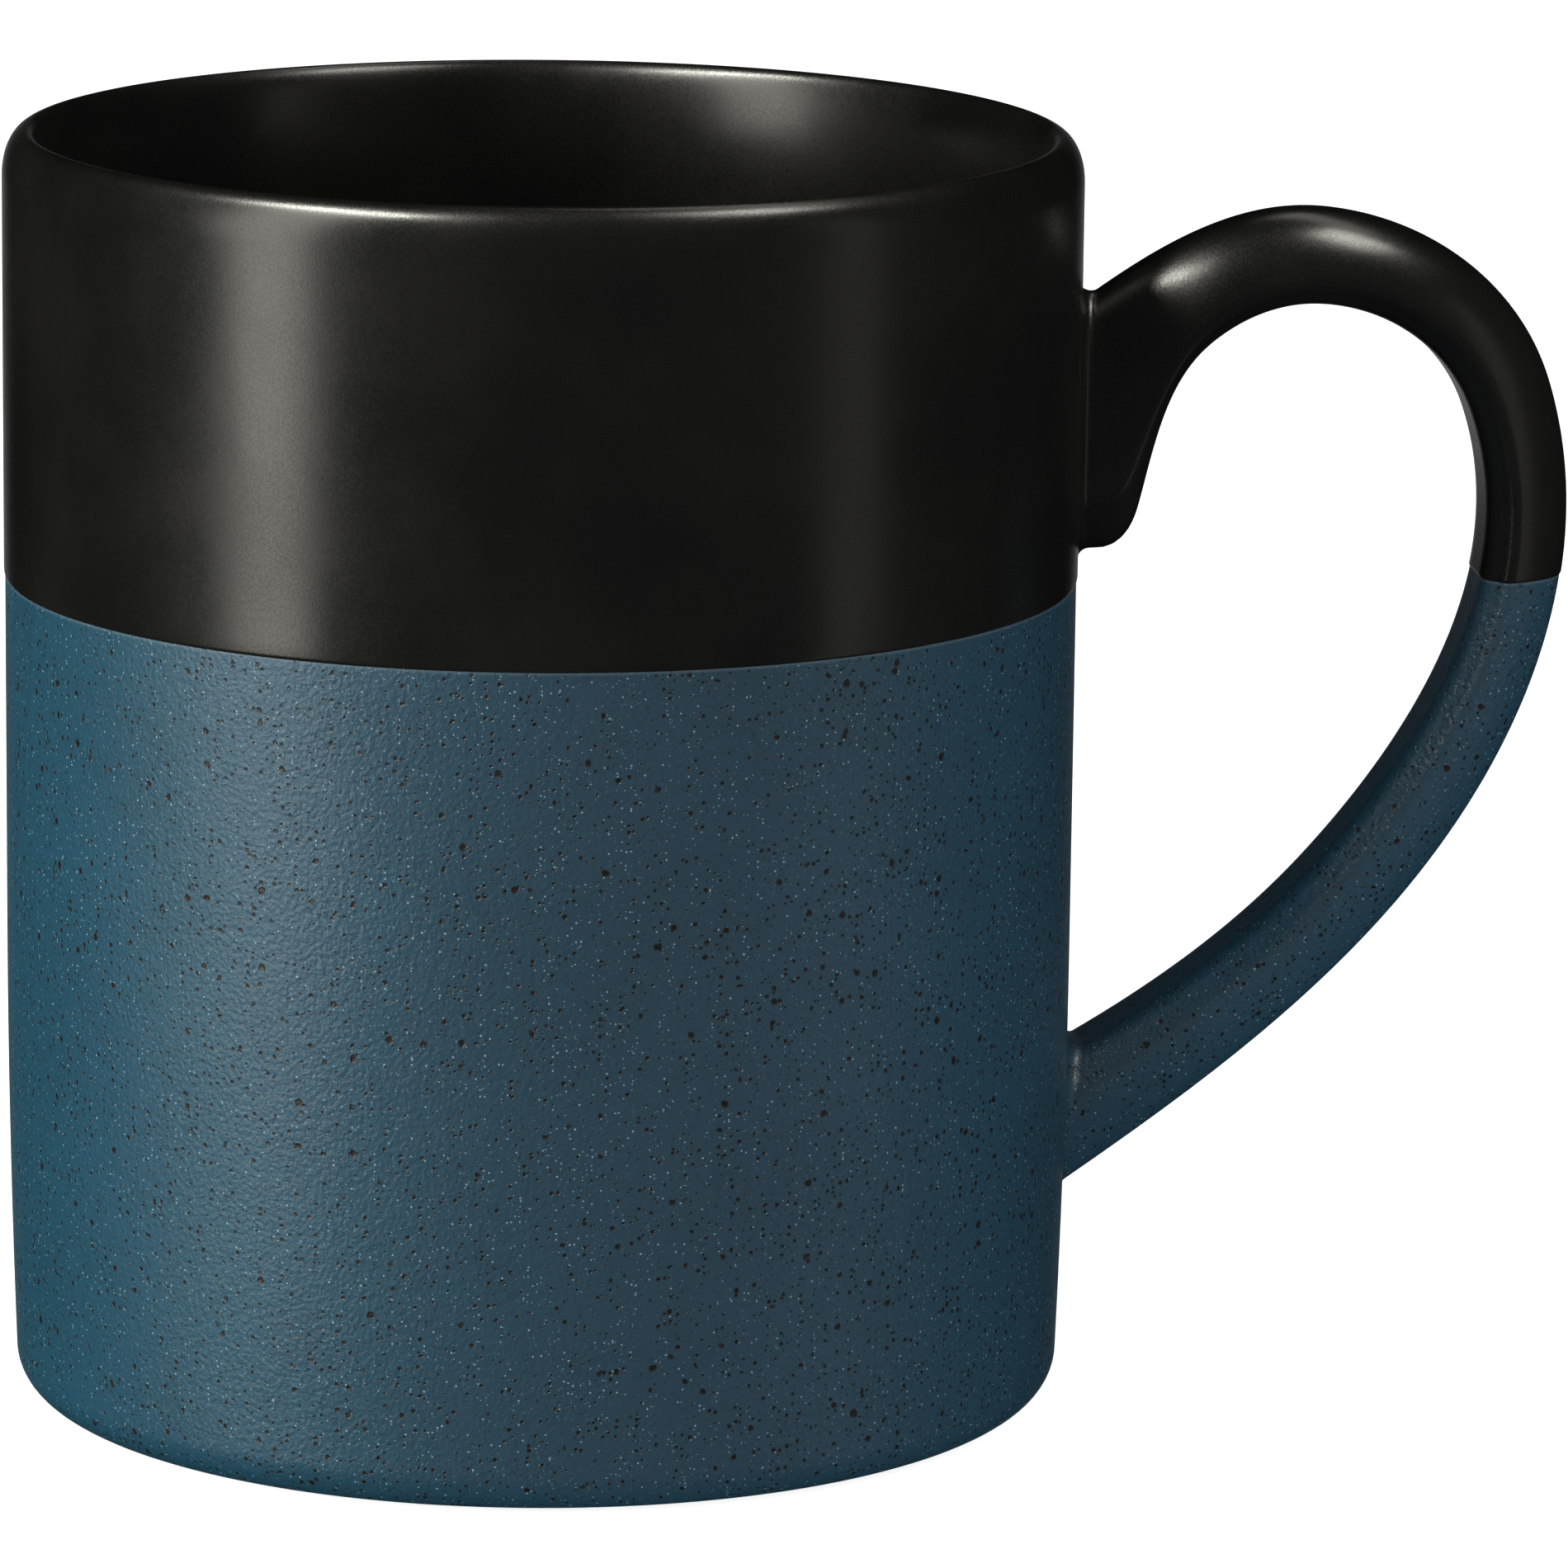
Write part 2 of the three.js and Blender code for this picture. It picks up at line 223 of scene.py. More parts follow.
def lower_outline(coat):
    """[radius, height] from the wiped edge under the base corner up to the glaze line."""
    turn = BASE_CORNER + FOOT_STEP
    corner = [wall_radius(turn) - BASE_CORNER, turn]
    under = WIPED_EDGE + (corner[0] - WIPED_EDGE) * (1 - np.cos(np.linspace(0, math.pi / 2, BEAD_STEPS + 1)))
    return np.vstack([
        np.column_stack([under, np.full(len(under), FOOT_STEP - coat)])[:-1],
        arc(corner, BASE_CORNER + coat, BASE_CORNER + coat, -90, 0, BASE_CORNER_ROWS),
        wall(coat, np.linspace(turn, LOWER_WINDOW[0], BESIDE_WINDOW_ROWS)[1:-1]),
        wall(coat, np.linspace(*LOWER_WINDOW, ROOT_ROWS + 1)),
        wall(coat, np.linspace(LOWER_WINDOW[1], GLAZE_LINE, BELOW_LINE_ROWS)[1:]),
    ])


def foot_outline():
    """[radius, height] of the bare clay, from the middle of the foot to where the glaze begins."""
    return np.vstack([
        straight([0, 0], [FOOT_RADIUS, 0], FLOOR_ROWS),
        straight([FOOT_RADIUS, 0], [FOOT_RADIUS + FOOT_STEP / 2, FOOT_STEP], FOOT_EDGE_ROWS)[1:],
    ])


def turned(outline):
    """An outline swept round the Z axis, as rows of points; the handle is at the first column."""
    angle = np.linspace(0, 2 * math.pi, CUP_SEGMENTS, endpoint=False)
    radius, height = outline[:, :1], outline[:, 1:]
    return np.dstack([radius * np.cos(angle), radius * np.sin(angle), height + 0 * angle])


def on_wall(flat, coat):
    """Points of the wall from [angle, height] pairs."""
    angle, height = flat[:, 0], flat[:, 1]
    radius = wall_radius(height) + coat
    return np.column_stack([radius * np.cos(angle), radius * np.sin(angle), height])


# ---- The handle ------------------------------------------------------------------------------

def direction(degrees):
    return np.array([math.cos(math.radians(degrees)), math.sin(math.radians(degrees))])


def bezier(points, share):
    """A point of a Bezier curve of any order."""
    while len(points) > 1:
        points = [lerp(a, b, share) for a, b in zip(points, points[1:])]
    return points[0]


def smooth_curve(keys):
    """A dense line of points that passes each key at its heading."""
    shares = np.linspace(0, 1, CURVE_STEPS, endpoint=False)
    curve = []
    for (x0, y0, heading0), (x1, y1, heading1) in zip(keys, keys[1:]):
        start, end = np.array([x0, y0]), np.array([x1, y1])
        turn = math.radians(heading1 - heading0)
        pull = np.linalg.norm(end - start) * (2 / 3) / (1 + math.cos(turn / 2))  # as for a round arc
        leave = start + direction(heading0) * pull
        arrive = end - direction(heading1) * pull
        curve += [bezier([start, leave, arrive, end], t) for t in shares]
    return np.array([*curve, end])


def edge_curve(keys, count, offset):
    """count + 1 even points of a smooth curve through the keys, moved sideways by an offset."""
    points = evenly(smooth_curve(keys), count)
    tangent = np.gradient(points, axis=0)
    tangent[0], tangent[-1] = direction(keys[0][2]), direction(keys[-1][2])
    tangent /= np.linalg.norm(tangent, axis=1, keepdims=True)
    return points + offset * np.column_stack([-tangent[:, 1], tangent[:, 0]])


section_curve = smooth_curve(HALF_SECTION)


def half_section(half_thick, half_width):
    """Half of a section as [side, rise], stretched to a size."""
    stretch = [half_width / WIDEST, half_thick / CROWN]
    return evenly(section_curve * stretch, SECTION_POINTS // 2)


def section(outer, inner, half_width):
    """One closed section of the handle between two points of its edges."""
    middle = (outer + inner) / 2
    half_thick = np.linalg.norm(outer - middle)
    thick = (outer - middle) / half_thick
    right = half_section(half_thick, half_width)
    left = right[-2:0:-1] * [-1, 1]
    side, rise = np.vstack([right, left]).T
    return np.column_stack([middle[0] + thick[0] * rise, side, middle[1] + thick[1] * rise])


def spans(keys):
    """The pairs of neighbouring keys."""
    return [keys[i:i + 2] for i in range(len(keys) - 1)]


def handle_lines(coat):
    """The lines that run along the handle from root to root, one for each point of the section."""
    inner_spans = spans(INNER_EDGE)
    inner_spans.insert(0, INNER_TAIL + INNER_EDGE[:1])
    outer, inner = [], []
    for outer_keys, inner_keys, count in zip(spans(OUTER_EDGE), inner_spans, SPAN_STEPS):
        outer.extend(edge_curve(outer_keys, count, coat)[1 if outer else 0:])
        inner.extend(edge_curve(inner_keys, count, -coat)[1 if inner else 0:])
    from_middle = np.linspace(-1, 1, len(outer))
    half_widths = lerp(HALF_WIDTH_GRIP, HALF_WIDTH_ROOT, from_middle**4) + coat
    rings = [section(a, b, width) for a, b, width in zip(outer, inner, half_widths)]
    return np.array(rings).transpose(1, 0, 2)


def cross(line, value):
    """Where a value, given for each point of a line, first rises above 0: the next point, and the place."""
    first = int(np.argmax(value > 0))
    share = value[first - 1] / (value[first - 1] - value[first])
    return first, lerp(line[first - 1], line[first], share)


def free_part(line, coat, above):
    """The part of a line between the wall of the cup and the glaze line."""
    stand_off = np.hypot(line[:, 0], line[:, 1]) - wall_radius(line[:, 2]) - coat
    first, foot = cross(line, stand_off)
    line = np.vstack([foot, line[first:]])
    past = line[:, 2] - HANDLE_LINE
    last, end = cross(line, -past if above else past)
    return np.vstack([line[:last], end])


def fillet_corners(lines):
    """For each line: the direction along the wall away from the handle as [round, up], and half the angle
    between that direction and the line."""
    feet = np.array([line[0] for line in lines])
    angle = np.arctan2(feet[:, 1], feet[:, 0])
    flat = np.column_stack([angle * WALL_RADIUS, feet[:, 2]])
    along = np.roll(flat, -1, axis=0) - np.roll(flat, 1, axis=0)
    away = np.column_stack([along[:, 1], -along[:, 0]])
    away /= np.linalg.norm(away, axis=1, keepdims=True)
    away *= np.sign((away * (flat - flat.mean(axis=0))).sum(axis=1, keepdims=True))
    round_, up = away.T
    on_wall_away = np.column_stack([-np.sin(angle) * round_, np.cos(angle) * round_, up])
    leaving = np.array([follow(line, [FILLET_RADIUS])[0] - line[0] for line in lines]) / FILLET_RADIUS
    return away, np.arccos((on_wall_away * leaving).sum(axis=1)) / 2


def round_corner(start, corner, end, half_angle, share):
    """A point of the round arc that touches both legs of a corner."""
    weight = np.sin(half_angle)[:, None]
    parts = [(1 - share) ** 2, 2 * weight * share * (1 - share), share**2]
    return (parts[0] * start + parts[1] * corner + parts[2] * end) / sum(parts)


def window_rim(first, last):
    """[angle, height] round a window in the wall, from the middle of one edge by +Y to the other and
    back."""
    angles = 2 * math.pi / CUP_SEGMENTS * np.arange(ROOT_HALF_SPAN + 1)
    side = angles[-1]
    right = [[angle, first] for angle in angles]
    right += [[side, height] for height in np.linspace(first, last, ROOT_ROWS + 1)[1:]]
    right += [[angle, last] for angle in angles[-2::-1]]
    left = [[-angle, height] for angle, height in right[-2:0:-1]]
    return np.array(right + left)


def branch(coat, above):
    """Rows of points from a window in the wall over the fillet and along the handle to the glaze line."""
    lines = handle_lines(coat)
    if not above:
        lines = lines[:, ::-1]
    lines = [free_part(line, coat, above) for line in lines]
    feet = np.array([line[0] for line in lines])
    away, half_angle = fillet_corners(lines)
    reach = (FILLET_RADIUS / np.tan(half_angle))[:, None]
    flat_feet = np.column_stack([np.arctan2(feet[:, 1], feet[:, 0]), feet[:, 2]])
    ring = flat_feet + away * reach / [WALL_RADIUS, 1]
    rim = window_rim(*(UPPER_WINDOW[::-1] if above else LOWER_WINDOW))
    patch = [on_wall(lerp(rim, ring, t), coat) for t in np.linspace(0, 1, PATCH_ROWS + 1)]
    shoulders = np.vstack([follow(line, distance) for line, distance in zip(lines, reach)])
    turns = np.linspace(0, 1, FILLET_STEPS + 1)[1:]
    fillet = [round_corner(patch[-1], feet, shoulders, half_angle, t) for t in turns]
    along = np.linspace(0, 1, GRIP_ROWS + 1)[1:] ** GRIP_CROWDING
    edge = LINE_BEAD * np.cos(np.linspace(0, math.pi / 2, BEAD_STEPS + 1)[1:])
    grip = []
    for line, distance in zip(lines, reach[:, 0]):
        total = length(line)
        stops = np.concatenate([lerp(distance, total - LINE_BEAD, along), total - edge])
        grip.append(follow(line, stops))
    return np.array([*patch, *fillet, *np.array(grip).transpose(1, 0, 2)])


# ---- Meshes ----------------------------------------------------------------------------------

def grid_faces(rows, first, window=None):
    """Quads between successive closed rows of points, leaving a window of the wall out."""
    row_count, columns = rows.shape[:2]
    faces = []
    for i in range(row_count - 1):
        for j in range(columns):
            in_window = window and window[0] <= i < window[1]
            if in_window and (j < ROOT_HALF_SPAN or j >= columns - ROOT_HALF_SPAN):
                continue
            here, there = first + i * columns, first + (i + 1) * columns
            following = (j + 1) % columns
            faces.append((here + j, here + following, there + following, there + j))
    return faces


def piece(name, grids, node, material):
    """One closed smooth mesh out of grids of points that meet, in place of a CAD node."""
    points, faces = [], []
    for grid in grids:
        rows, window = grid if isinstance(grid, tuple) else (grid, None)
        faces += grid_faces(rows, sum(map(len, points)), window)
        points.append(rows.reshape(-1, 3) * MM)
    mesh = bpy.data.meshes.new(name)
    mesh.from_pydata(np.vstack(points), [], faces)
    shape = bmesh.new()
    shape.from_mesh(mesh)
    bmesh.ops.remove_doubles(shape, verts=shape.verts, dist=WELD * MM)
    bmesh.ops.recalc_face_normals(shape, faces=shape.faces)
    shape.to_mesh(mesh)
    shape.free()
    mesh.shade_smooth()
    mesh.set_sharp_from_angle(angle=math.radians(SHARP))
    mesh.materials.append(material)
    made = bpy.data.objects.new(name, mesh)
    bpy.context.scene.collection.objects.link(made)
    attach(made, "root")
    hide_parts(node)
    return made


def lid(ring, middle):
    """A ring closed over a middle point."""
    return np.array([lerp(ring, middle, t) for t in np.linspace(0, 1, LID_ROWS + 1)])


def window_rows(outline, window):
    """The rows of an outline between which a window lies, on the outside of the wall."""
    outside = outline[:, 0] > WALL_RADIUS - WALL / 2
    gaps = [np.where(outside, np.abs(outline[:, 1] - height), np.inf) for height in window]
    return tuple(int(np.argmin(gap)) for gap in gaps)


def coat_piece(name, outline, window, coat, above, swell, material):
    """A closed coat of glaze over the cup and its part of the handle; swell thins it out at its edges."""
    inner_cup, outer_cup = turned(outline(0)), turned(outline(coat))
    inner_branch, outer_branch = branch(0, above), branch(coat, above)
    outer_cup = lerp(inner_cup, outer_cup, swell(outer_cup)[..., None])
    outer_branch = lerp(inner_branch, outer_branch, swell(outer_branch)[..., None])
    rows = window_rows(outline(coat), window)
    grids = [(outer_cup, rows), (inner_cup, rows), outer_branch, inner_branch]
    grids.append(np.array([outer_cup[0], inner_cup[0]]))
    grids.append(np.array([outer_branch[-1], inner_branch[-1]]))
    if not above:
        grids.append(np.array([outer_cup[-1], inner_cup[-1]]))
    return piece(name + "_coat", grids, name + "_glaze", material)


def black_swell(points):
    """The black coat's share of its thickness: its lower edge is a round bead that stands on the blue."""
    on_handle = np.hypot(points[..., 0], points[..., 1]) > HANDLE_START
    line = np.where(on_handle, HANDLE_LINE, GLAZE_LINE)
    start = BLUE_COAT / BLACK_COAT - LINE_TUCK
    return lerp(start, 1, bead(points[..., 2] - line, LINE_BEAD))


def blue_swell(points):
    """The blue coat's share of its thickness: it thins out where it was wiped off the foot."""
    distance = np.hypot(points[..., 0], points[..., 1]) - WIPED_EDGE
    return lerp(WIPED_SHARE, 1, bead(distance, FOOT_BEAD))


def clay_cup(material):
    """The clay cup under the glaze, bare only at its foot."""
    outline = np.vstack([foot_outline(), lower_outline(0), upper_outline(0)[1:]])
    return piece("clay_cup", [turned(outline)], "cup_body", material)


def clay_handle(upper, lower, material):
    """The clay of the handle from one bed of slip to the other, under the glaze."""
    start = PATCH_ROWS + FILLET_STEPS
    rows = np.concatenate([upper[start:], lower[start:-1][::-1]])
    ends = [lid(rows[0], rows[0].mean(axis=0)), lid(rows[-1], rows[-1].mean(axis=0))]
    return piece("clay_handle", [rows, *ends], "handle", material)


def slip_bed(name, rows, material):
    """The bed of slip between the wall and the end of the clay handle, smoothed to a fillet."""
    collar = rows[PATCH_ROWS:PATCH_ROWS + FILLET_STEPS + 1]
    on_clay = collar[0].mean(axis=0)
    on_clay[:2] *= wall_radius(on_clay[2]) / np.hypot(*on_clay[:2])
    ends = [lid(collar[0], on_clay), lid(collar[-1], collar[-1].mean(axis=0))]
    return piece(name, [collar, *ends], name + "_joint", material)


# ---- Materials -------------------------------------------------------------------------------

class Nodes:
    """Builds one node tree. An input may be given a number, a vector or another node's output."""

    def __init__(self, tree):
        self.tree = tree
        self.tree.nodes.clear()

    def node(self, kind, inputs=None, **settings):
        made = self.tree.nodes.new(kind)
        for name, value in settings.items():
            setattr(made, name, value)
        for socket, value in (inputs or {}).items():
            if isinstance(value, bpy.types.NodeSocket):
                self.tree.links.new(value, made.inputs[socket])
            else:
                made.inputs[socket].default_value = value
        return made

    def math(self, operation, *values):
        made = self.node("ShaderNodeMath", dict(enumerate(values)), operation=operation)
        return made.outputs[0]

    def between(self, value, start, end, first, last, **settings):
        """Goes from first to last as a value goes from start to end."""
        inputs = {"Value": value, "From Min": start, "From Max": end, "To Min": first, "To Max": last}
        return self.node("ShaderNodeMapRange", inputs, **settings).outputs["Result"]

    def vector(self, operation, *values, output=0, **inputs):
        inputs.update(enumerate(values))
        return self.node("ShaderNodeVectorMath", inputs, operation=operation).outputs[output]

    def choose(self, condition, otherwise, then):
        """One of two numbers, by a condition that is 0 or 1."""
        made = self.node("ShaderNodeMix", {"Factor": condition, "A": otherwise, "B": then})
        return made.outputs["Result"]


class Finish(Nodes):
    """Builds one procedural material."""

    def __init__(self, name):
        self.material = bpy.data.materials.new(name)
        self.material.use_nodes = True
        super().__init__(self.material.node_tree)
        self.place = self.node("ShaderNodeTexCoord").outputs["Object"]

    def noise(self, size, detail=2.0, roughness=0.5, stretch=(1, 1, 1), seed=0.0):
        """Soft noise around 0.5, with features of a size in millimetres."""
        moved = self.node(
            "ShaderNodeMapping",
            {"Vector": self.place, "Scale": [s / (size * MM) for s in stretch], "Location": [seed] * 3},
        )
        inputs = {"Vector": moved.outputs[0], "Scale": 1.0, "Detail": detail, "Roughness": roughness}
        return self.node("ShaderNodeTexNoise", inputs).outputs["Fac"]

    def ramp(self, value, start, end, first=0.0, last=1.0):
        """Goes smoothly from first to last as a value goes from start to end."""
        return self.between(value, start, end, first, last, interpolation_type="SMOOTHSTEP")

    def mix(self, share, first, second):
        """A colour between two colours."""
        made = self.node("ShaderNodeMix", {"Factor": share}, data_type="RGBA")
        # 6, 7 and 2 are the node's colour sockets, which share their names with its other sockets
        for socket, value in ((made.inputs[6], first), (made.inputs[7], second)):
            if isinstance(value, bpy.types.NodeSocket):
                self.tree.links.new(value, socket)
            else:
                socket.default_value = (*value, 1.0)
        return made.outputs[2]

    def spots(self, cell, radius, share, seed, ragged=0.15):
        """Round spots with ragged rims, in millimetres: one in a share of the cells of a size, each with its
        own radius, most of them small. Gives how deep a point lies in its spot, from 0 at the rim to 1 in
        the middle."""
        smallness = 2.5
        inputs = {"Vector": self.place, "Scale": 1 / (0.4 * MM), "Detail": 1.0}
        wobble = self.node("ShaderNodeTexNoise", inputs)
        shift = self.vector("SUBTRACT", wobble.outputs["Color"], (0.5, 0.5, 0.5))
        place = self.vector("ADD", self.place, self.vector("SCALE", shift, Scale=ragged * MM))
        seeded = self.vector("ADD", place, [seed] * 3)
        inputs = {"Vector": seeded, "Scale": 1 / (cell * MM), "Randomness": 1.0}
        cells = self.node("ShaderNodeTexVoronoi", inputs)
        chance = self.node("ShaderNodeSeparateColor", {"Color": cells.outputs["Color"]})
        size = self.math("POWER", chance.outputs["Red"], smallness)
        size = self.math("MULTIPLY_ADD", size, (radius[1] - radius[0]) / cell, radius[0] / cell)
        depth = self.math("SUBTRACT", 1.0, self.math("DIVIDE", cells.outputs["Distance"], size))
        present = self.math("LESS_THAN", chance.outputs["Green"], share)
        return self.math("MULTIPLY", self.math("MAXIMUM", depth, 0.0), present)

    def bump(self, height, depth, below=None):
        """Raises the surface by a height from 0 to 1 times a depth in millimetres."""
        inputs = {"Height": height, "Distance": depth * MM, "Strength": 1.0}
        if below is not None:
            inputs["Normal"] = below
        return self.node("ShaderNodeBump", inputs).outputs["Normal"]

    def surface(self, **inputs):
        """Ends the material with a principled surface; its inputs are given with _ for a space."""
        named = {name.replace("_", " "): value for name, value in inputs.items()}
        for name, value in named.items():
            if isinstance(value, tuple):
                named[name] = (*value, 1.0)
        shader = self.node("ShaderNodeBsdfPrincipled", named)
        self.node("ShaderNodeOutputMaterial", {"Surface": shader.outputs[0]})
        return self.material


def black_glaze():
    """Satin black with a fine grain, a slow unevenness and the odd pinhole."""
    deep, worn = (0.0052, 0.0056, 0.0050), (0.0072, 0.0072, 0.0062)
    finish = Finish("black_glaze")
    patches = finish.noise(14, detail=3)
    grain = finish.noise(0.17, detail=1)
    colour = finish.mix(finish.ramp(patches, 0.35, 0.65), deep, worn)
    pores = finish.spots(6, (0.05, 0.12), 0.5, seed=3.1)
    rough = finish.ramp(patches, 0.3, 0.7, 0.24, 0.30)
    rough = finish.math("ADD", rough, finish.ramp(grain, 0.3, 0.7, -0.03, 0.03))
    normal = finish.bump(finish.noise(9, detail=2, seed=4), 0.05)
    normal = finish.bump(grain, 0.0045, below=normal)
    normal = finish.bump(finish.ramp(pores, 0, 0.5, 1, 0), 0.03, below=normal)
    return finish.surface(Base_Color=colour, Roughness=rough, Normal=normal)


def below_line(finish):
    """How many millimetres a point lies below the glaze line, which is lower on the handle."""
    place = finish.node("ShaderNodeSeparateXYZ", {"Vector": finish.place})
    flat = finish.node("ShaderNodeCombineXYZ", {"X": place.outputs["X"], "Y": place.outputs["Y"]})
    radius = finish.vector("LENGTH", flat.outputs[0], output="Value")
    on_handle = finish.math("GREATER_THAN", radius, HANDLE_START * MM)
    line = finish.math("MULTIPLY_ADD", on_handle, (HANDLE_LINE - GLAZE_LINE) * MM, GLAZE_LINE * MM)
    return finish.math("DIVIDE", finish.math("SUBTRACT", line, place.outputs["Z"]), MM)


def blue_glaze():
    """Matte blue with a leathery skin, dark iron specks that sit in small pits, and pale dots of painted
    highlight that stand for glints of light off small bumps. It breaks to a thin pale edge where it meets
    the black."""
    deep, light = (0.0080, 0.0535, 0.0900), (0.0100, 0.0630, 0.1060)
    pale, shaded = (0.0125, 0.0700, 0.1160), (0.0040, 0.0320, 0.0570)
    # painted_glint is a painted highlight: the pale colour of glints of light off tiny bumps
    painted_glint, edge = (0.26, 0.40, 0.47), (0.08, 0.13, 0.17)
    iron_rim, iron = (0.014, 0.015, 0.015), (0.006, 0.006, 0.006)
    finish = Finish("blue_glaze")
    clouds = finish.noise(18, detail=4, roughness=0.6)
    mottle = finish.noise(1.2, detail=3, seed=7)
    grain = finish.noise(0.16, detail=2, roughness=0.7)
    leather = finish.noise(0.38, detail=1, seed=3)
    colour = finish.mix(finish.ramp(clouds, 0.3, 0.7), deep, light)
    colour = finish.mix(finish.ramp(mottle, 0.3, 0.7, 0, 0.35), colour, pale)
    colour = finish.mix(finish.ramp(grain, 0.3, 0.7, 0.0, 0.6), colour, shaded)
    # Painted highlights: pale dots in the colour of glints, each also raised as a small bump
    glint_dots = finish.spots(0.33, (0.04, 0.10), 0.6, seed=1.7, ragged=0.05)
    colour = finish.mix(finish.ramp(glint_dots, 0.0, 0.4, 0, 0.7), colour, painted_glint)
    crowd = finish.ramp(finish.noise(5, seed=11), 0.35, 0.65, 0.45, 1.0)
    small = finish.spots(0.5, (0.08, 0.21), crowd, seed=5.3)
    large = finish.spots(1.3, (0.13, 0.36), crowd, seed=9.1, ragged=0.3)
    specks = finish.math("MAXIMUM", small, large)
    colour = finish.mix(finish.ramp(specks, 0.0, 0.15, 0, 0.9), colour, iron_rim)
    colour = finish.mix(finish.ramp(specks, 0.15, 0.35), colour, iron)
    colour = finish.mix(finish.ramp(below_line(finish), 0.05, 0.3, 0.5, 0), colour, edge)
    rough = finish.ramp(grain, 0.3, 0.7, 0.38, 0.46)
    normal = finish.bump(finish.noise(10, detail=2, seed=2), 0.04)
    normal = finish.bump(leather, 0.07, below=normal)
    normal = finish.bump(grain, 0.022, below=normal)
    normal = finish.bump(finish.ramp(glint_dots, 0, 0.5), 0.012, below=normal)
    normal = finish.bump(finish.ramp(specks, 0, 0.5, 1, 0), 0.04, below=normal)
    return finish.surface(Base_Color=colour, Roughness=rough, Normal=normal, Specular_IOR_Level=0.8)


def bare_clay():
    """Fired buff stoneware: sandy grain, fine grog and faint turning lines."""
    dark, pale = (0.40, 0.31, 0.21), (0.49, 0.40, 0.29)
    grit, iron_grog = (0.27, 0.20, 0.13), (0.13, 0.085, 0.05)
    turning_pitch = 1.3 * MM
    finish = Finish("bare_clay")
    clouds = finish.noise(12, detail=4)
    sand = finish.noise(0.35, detail=4, roughness=0.7)
    colour = finish.mix(finish.ramp(clouds, 0.3, 0.7), dark, pale)
    colour = finish.mix(finish.ramp(sand, 0.35, 0.7, 0, 0.5), colour, grit)
    grog = finish.spots(1.6, (0.05, 0.35), 0.5, seed=2.2, ragged=0.3)
    colour = finish.mix(finish.ramp(grog, 0, 0.3, 0, 0.8), colour, iron_grog)
    around = finish.vector("MULTIPLY", finish.place, (1, 1, 0))
    radius = finish.vector("LENGTH", around, output="Value")
    lines = finish.math("SINE", finish.math("MULTIPLY", radius, 2 * math.pi / turning_pitch))
    rough = finish.ramp(sand, 0.3, 0.7, 0.82, 0.95)
    normal = finish.bump(lines, 0.01)
    normal = finish.bump(sand, 0.06, below=normal)
    return finish.surface(Base_Color=colour, Roughness=rough, Normal=normal)


def dried_slip():
    """Smoothed slip of the same clay: finer, a little darker, with brush streaks round the joint."""
    dark, pale = (0.30, 0.22, 0.15), (0.37, 0.29, 0.20)
    finish = Finish("dried_slip")
    streaks = finish.noise(0.5, detail=3, stretch=(1, 1, 0.15))
    colour = finish.mix(finish.ramp(streaks, 0.3, 0.7), dark, pale)
    rough = finish.ramp(streaks, 0.3, 0.7, 0.85, 0.95)
    return finish.surface(Base_Color=colour, Roughness=rough, Normal=finish.bump(streaks, 0.03))


def studio_floor():
    """Pale paper that looks nearly white however the lights fall on it."""
    white = (1.0, 1.0, 1.0)
    finish = Finish("studio_floor")
    colour = finish.mix(finish.noise(3, detail=4), (0.90, 0.90, 0.90), (0.94, 0.94, 0.94))
    return finish.surface(Base_Color=colour, Roughness=0.9, Emission_Color=white, Emission_Strength=0.85)


# ---- The mug ---------------------------------------------------------------------------------

def build_mug():
    clay, slip = bare_clay(), dried_slip()
    upper, lower = branch(0, above=True), branch(0, above=False)
    clay_cup(clay)
    clay_handle(upper, lower, clay)
    slip_bed("upper_slip", upper, slip)
    slip_bed("lower_slip", lower, slip)
    coat_piece("black", upper_outline, UPPER_WINDOW, BLACK_COAT, True, black_swell, black_glaze())
    coat_piece("blue", lower_outline, LOWER_WINDOW, BLUE_COAT, False, blue_swell, blue_glaze())


# ---- The studio ------------------------------------------------------------------------------

CAMERA_DISTANCE = 753.5  # along the table, from the middle of the mug
CAMERA_HEIGHT = 206
CAMERA_TURN = 5  # degrees from facing the handle's side squarely, towards the far side of the handle
PAN = 1.432  # degrees to the right of the middle of the mug
TILT = 11.877
ROLL = 0.665
LENS = 228.86
SENSOR = 36
BACKDROP = 14  # the white backdrop reaches this many degrees round the view straight back
BACKDROP_BLUR = 5  # degrees that its edge fades over on either side
BACKDROP_RISE = -12  # degrees up to its middle
BACKDROP_SHINE = 0.4  # its brightness as the glaze mirrors it
FILL = 0.5  # mean brightness of the room for what scatters light
FILL_SIDE = 25  # azimuth of its bright side; the other side is black
WARM = (1, 0.98, 0.88)
FLOOR_REACH = 40  # metres


def place_camera():
    data = bpy.data.cameras.new("camera")
    data.lens, data.sensor_width = LENS, SENSOR
    camera = bpy.data.objects.new("camera", data)
    turn = math.radians(CAMERA_TURN)
    across, away = -CAMERA_DISTANCE * math.sin(turn), -CAMERA_DISTANCE * math.cos(turn)
    camera.location = Vector((across, away, CAMERA_HEIGHT)) * MM
    heading = Matrix.Rotation(-math.radians(PAN + CAMERA_TURN), 3, "Z")
    dip = Matrix.Rotation(math.radians(90 - TILT), 3, "X")
    lean = Matrix.Rotation(math.radians(ROLL), 3, "Z")
    camera.rotation_euler = (heading @ dip @ lean).to_euler()
    bpy.context.scene.collection.objects.link(camera)
    bpy.context.scene.camera = camera


def toward(azimuth, rise=0.0):
    """The direction azimuth degrees to the right of the camera and rise degrees up, as seen by the mug."""
    aim, lift = math.radians(azimuth - 90 - CAMERA_TURN), math.radians(rise)
    return Vector((math.cos(aim) * math.cos(lift), math.sin(aim) * math.cos(lift), math.sin(lift)))


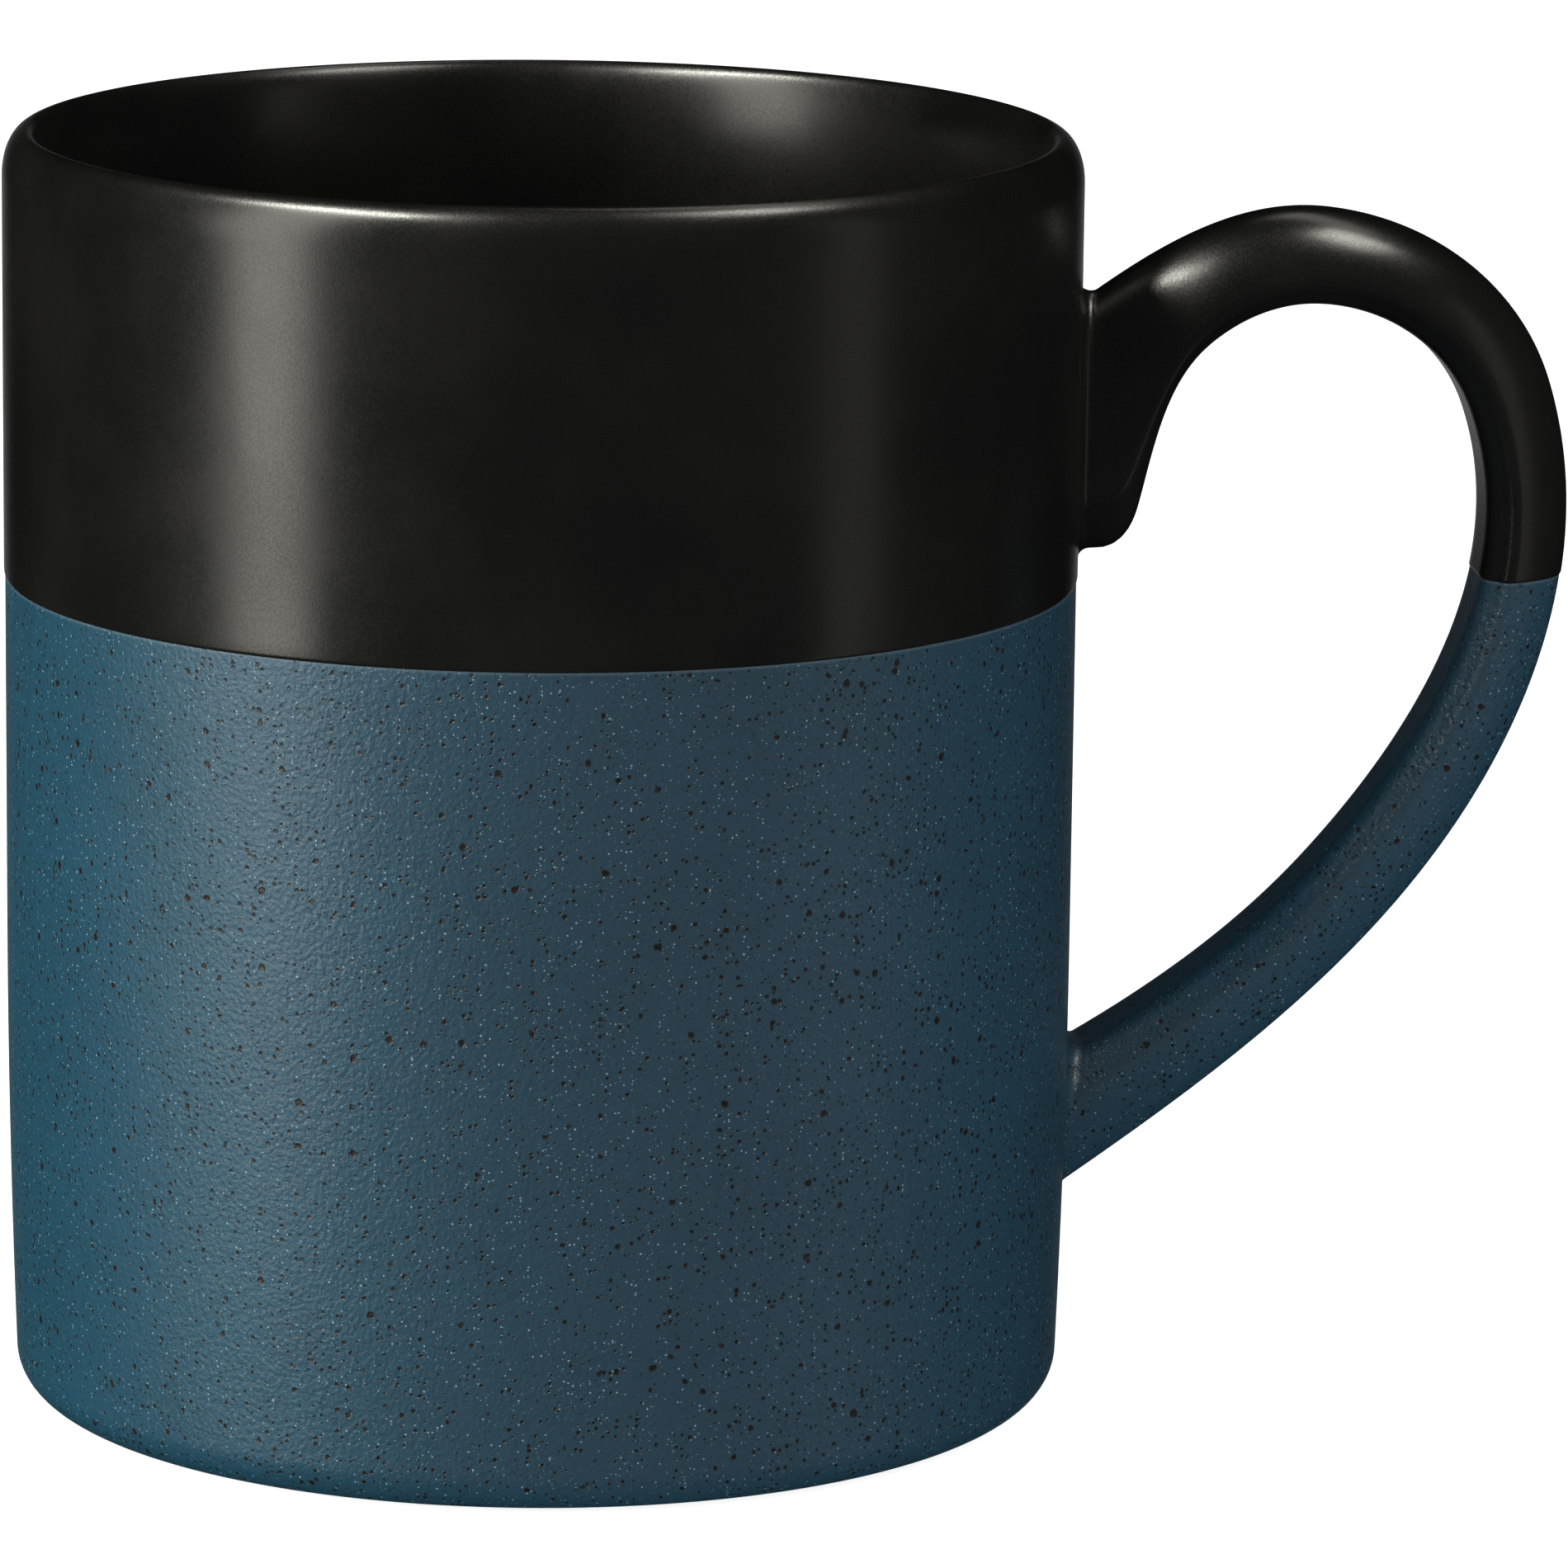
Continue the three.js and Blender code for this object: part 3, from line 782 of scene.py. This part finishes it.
def softbox(name, azimuth, rise, distance, width, tall, brightness, shine=True):
    """A rectangular light that faces the mug, with its size and distance in metres. It is either mirrored by
    the glaze as a highlight, or only scattered by it."""
    data = bpy.data.lights.new(name, "AREA")
    data.shape, data.size, data.size_y = "RECTANGLE", width, tall
    data.energy, data.color = brightness * math.pi * width * tall, WARM
    light = bpy.data.objects.new(name, data)
    light.location = toward(azimuth, rise) * distance + Vector((0, 0, HEIGHT / 2 * MM))
    light.rotation_euler = toward(azimuth, rise).to_track_quat("Z", "Y").to_euler()
    light.visible_diffuse = not shine
    light.visible_glossy = shine
    bpy.context.scene.collection.objects.link(light)


def lay_floor():
    """A wide sheet of paper. It throws no light back on the mug, as black cards stood round it."""
    mesh = bpy.data.meshes.new("floor")
    corners = [(x * FLOOR_REACH, y * FLOOR_REACH, 0) for x, y in ((-1, -1), (1, -1), (1, 1), (-1, 1))]
    mesh.from_pydata(corners, [], [(0, 1, 2, 3)])
    mesh.materials.append(studio_floor())
    floor = bpy.data.objects.new("floor", mesh)
    bpy.context.scene.collection.objects.link(floor)
    floor.visible_glossy = False
    floor.visible_diffuse = False
    floor.visible_shadow = False


def light_world():
    """White for the camera. Mirrored rays see a white backdrop straight behind the mug and black elsewhere,
    as if the room were hung with black cloth; scattered light comes from a soft fill in front."""
    world = bpy.data.worlds.new("studio")
    world.use_nodes = True
    bpy.context.scene.world = world
    nodes = Nodes(world.node_tree)
    ray = nodes.node("ShaderNodeTexCoord").outputs["Generated"]
    behind = nodes.vector("DOT_PRODUCT", ray, toward(180, BACKDROP_RISE), output="Value")
    rim = [math.cos(math.radians(BACKDROP + blur)) for blur in (BACKDROP_BLUR, -BACKDROP_BLUR)]
    backdrop = nodes.between(behind, *rim, 0, BACKDROP_SHINE)
    in_front = nodes.vector("DOT_PRODUCT", ray, toward(FILL_SIDE), output="Value")
    fill = nodes.between(in_front, -1, 1, 0, 2 * FILL)
    path = nodes.node("ShaderNodeLightPath").outputs
    strength = nodes.choose(path["Is Glossy Ray"], fill, backdrop)
    strength = nodes.choose(path["Is Camera Ray"], strength, 1.0)
    shade = nodes.node("ShaderNodeBackground", {"Color": (1, 1, 1, 1), "Strength": strength})
    nodes.node("ShaderNodeOutputWorld", {"Surface": shade.outputs[0]})


def build_studio():
    place_camera()
    lay_floor()
    light_world()
    softbox("key", azimuth=-57, rise=23, distance=0.44, width=0.15, tall=0.64, brightness=5.4)
    softbox("left_top", azimuth=-57, rise=56, distance=0.40, width=0.19, tall=0.05, brightness=50)
    softbox("right_top", azimuth=66, rise=61, distance=0.43, width=0.11, tall=0.12, brightness=14)
    softbox("back_top", azimuth=130, rise=68, distance=0.5, width=0.3, tall=0.1, brightness=2)
    softbox("card", azimuth=66, rise=0, distance=0.5, width=0.10, tall=0.6, brightness=0.45)
    softbox("side", azimuth=-74, rise=5, distance=0.6, width=0.3, tall=0.5, brightness=9.5, shine=False)
    bpy.context.scene.view_settings.view_transform = "Standard"


build_mug()
build_studio()
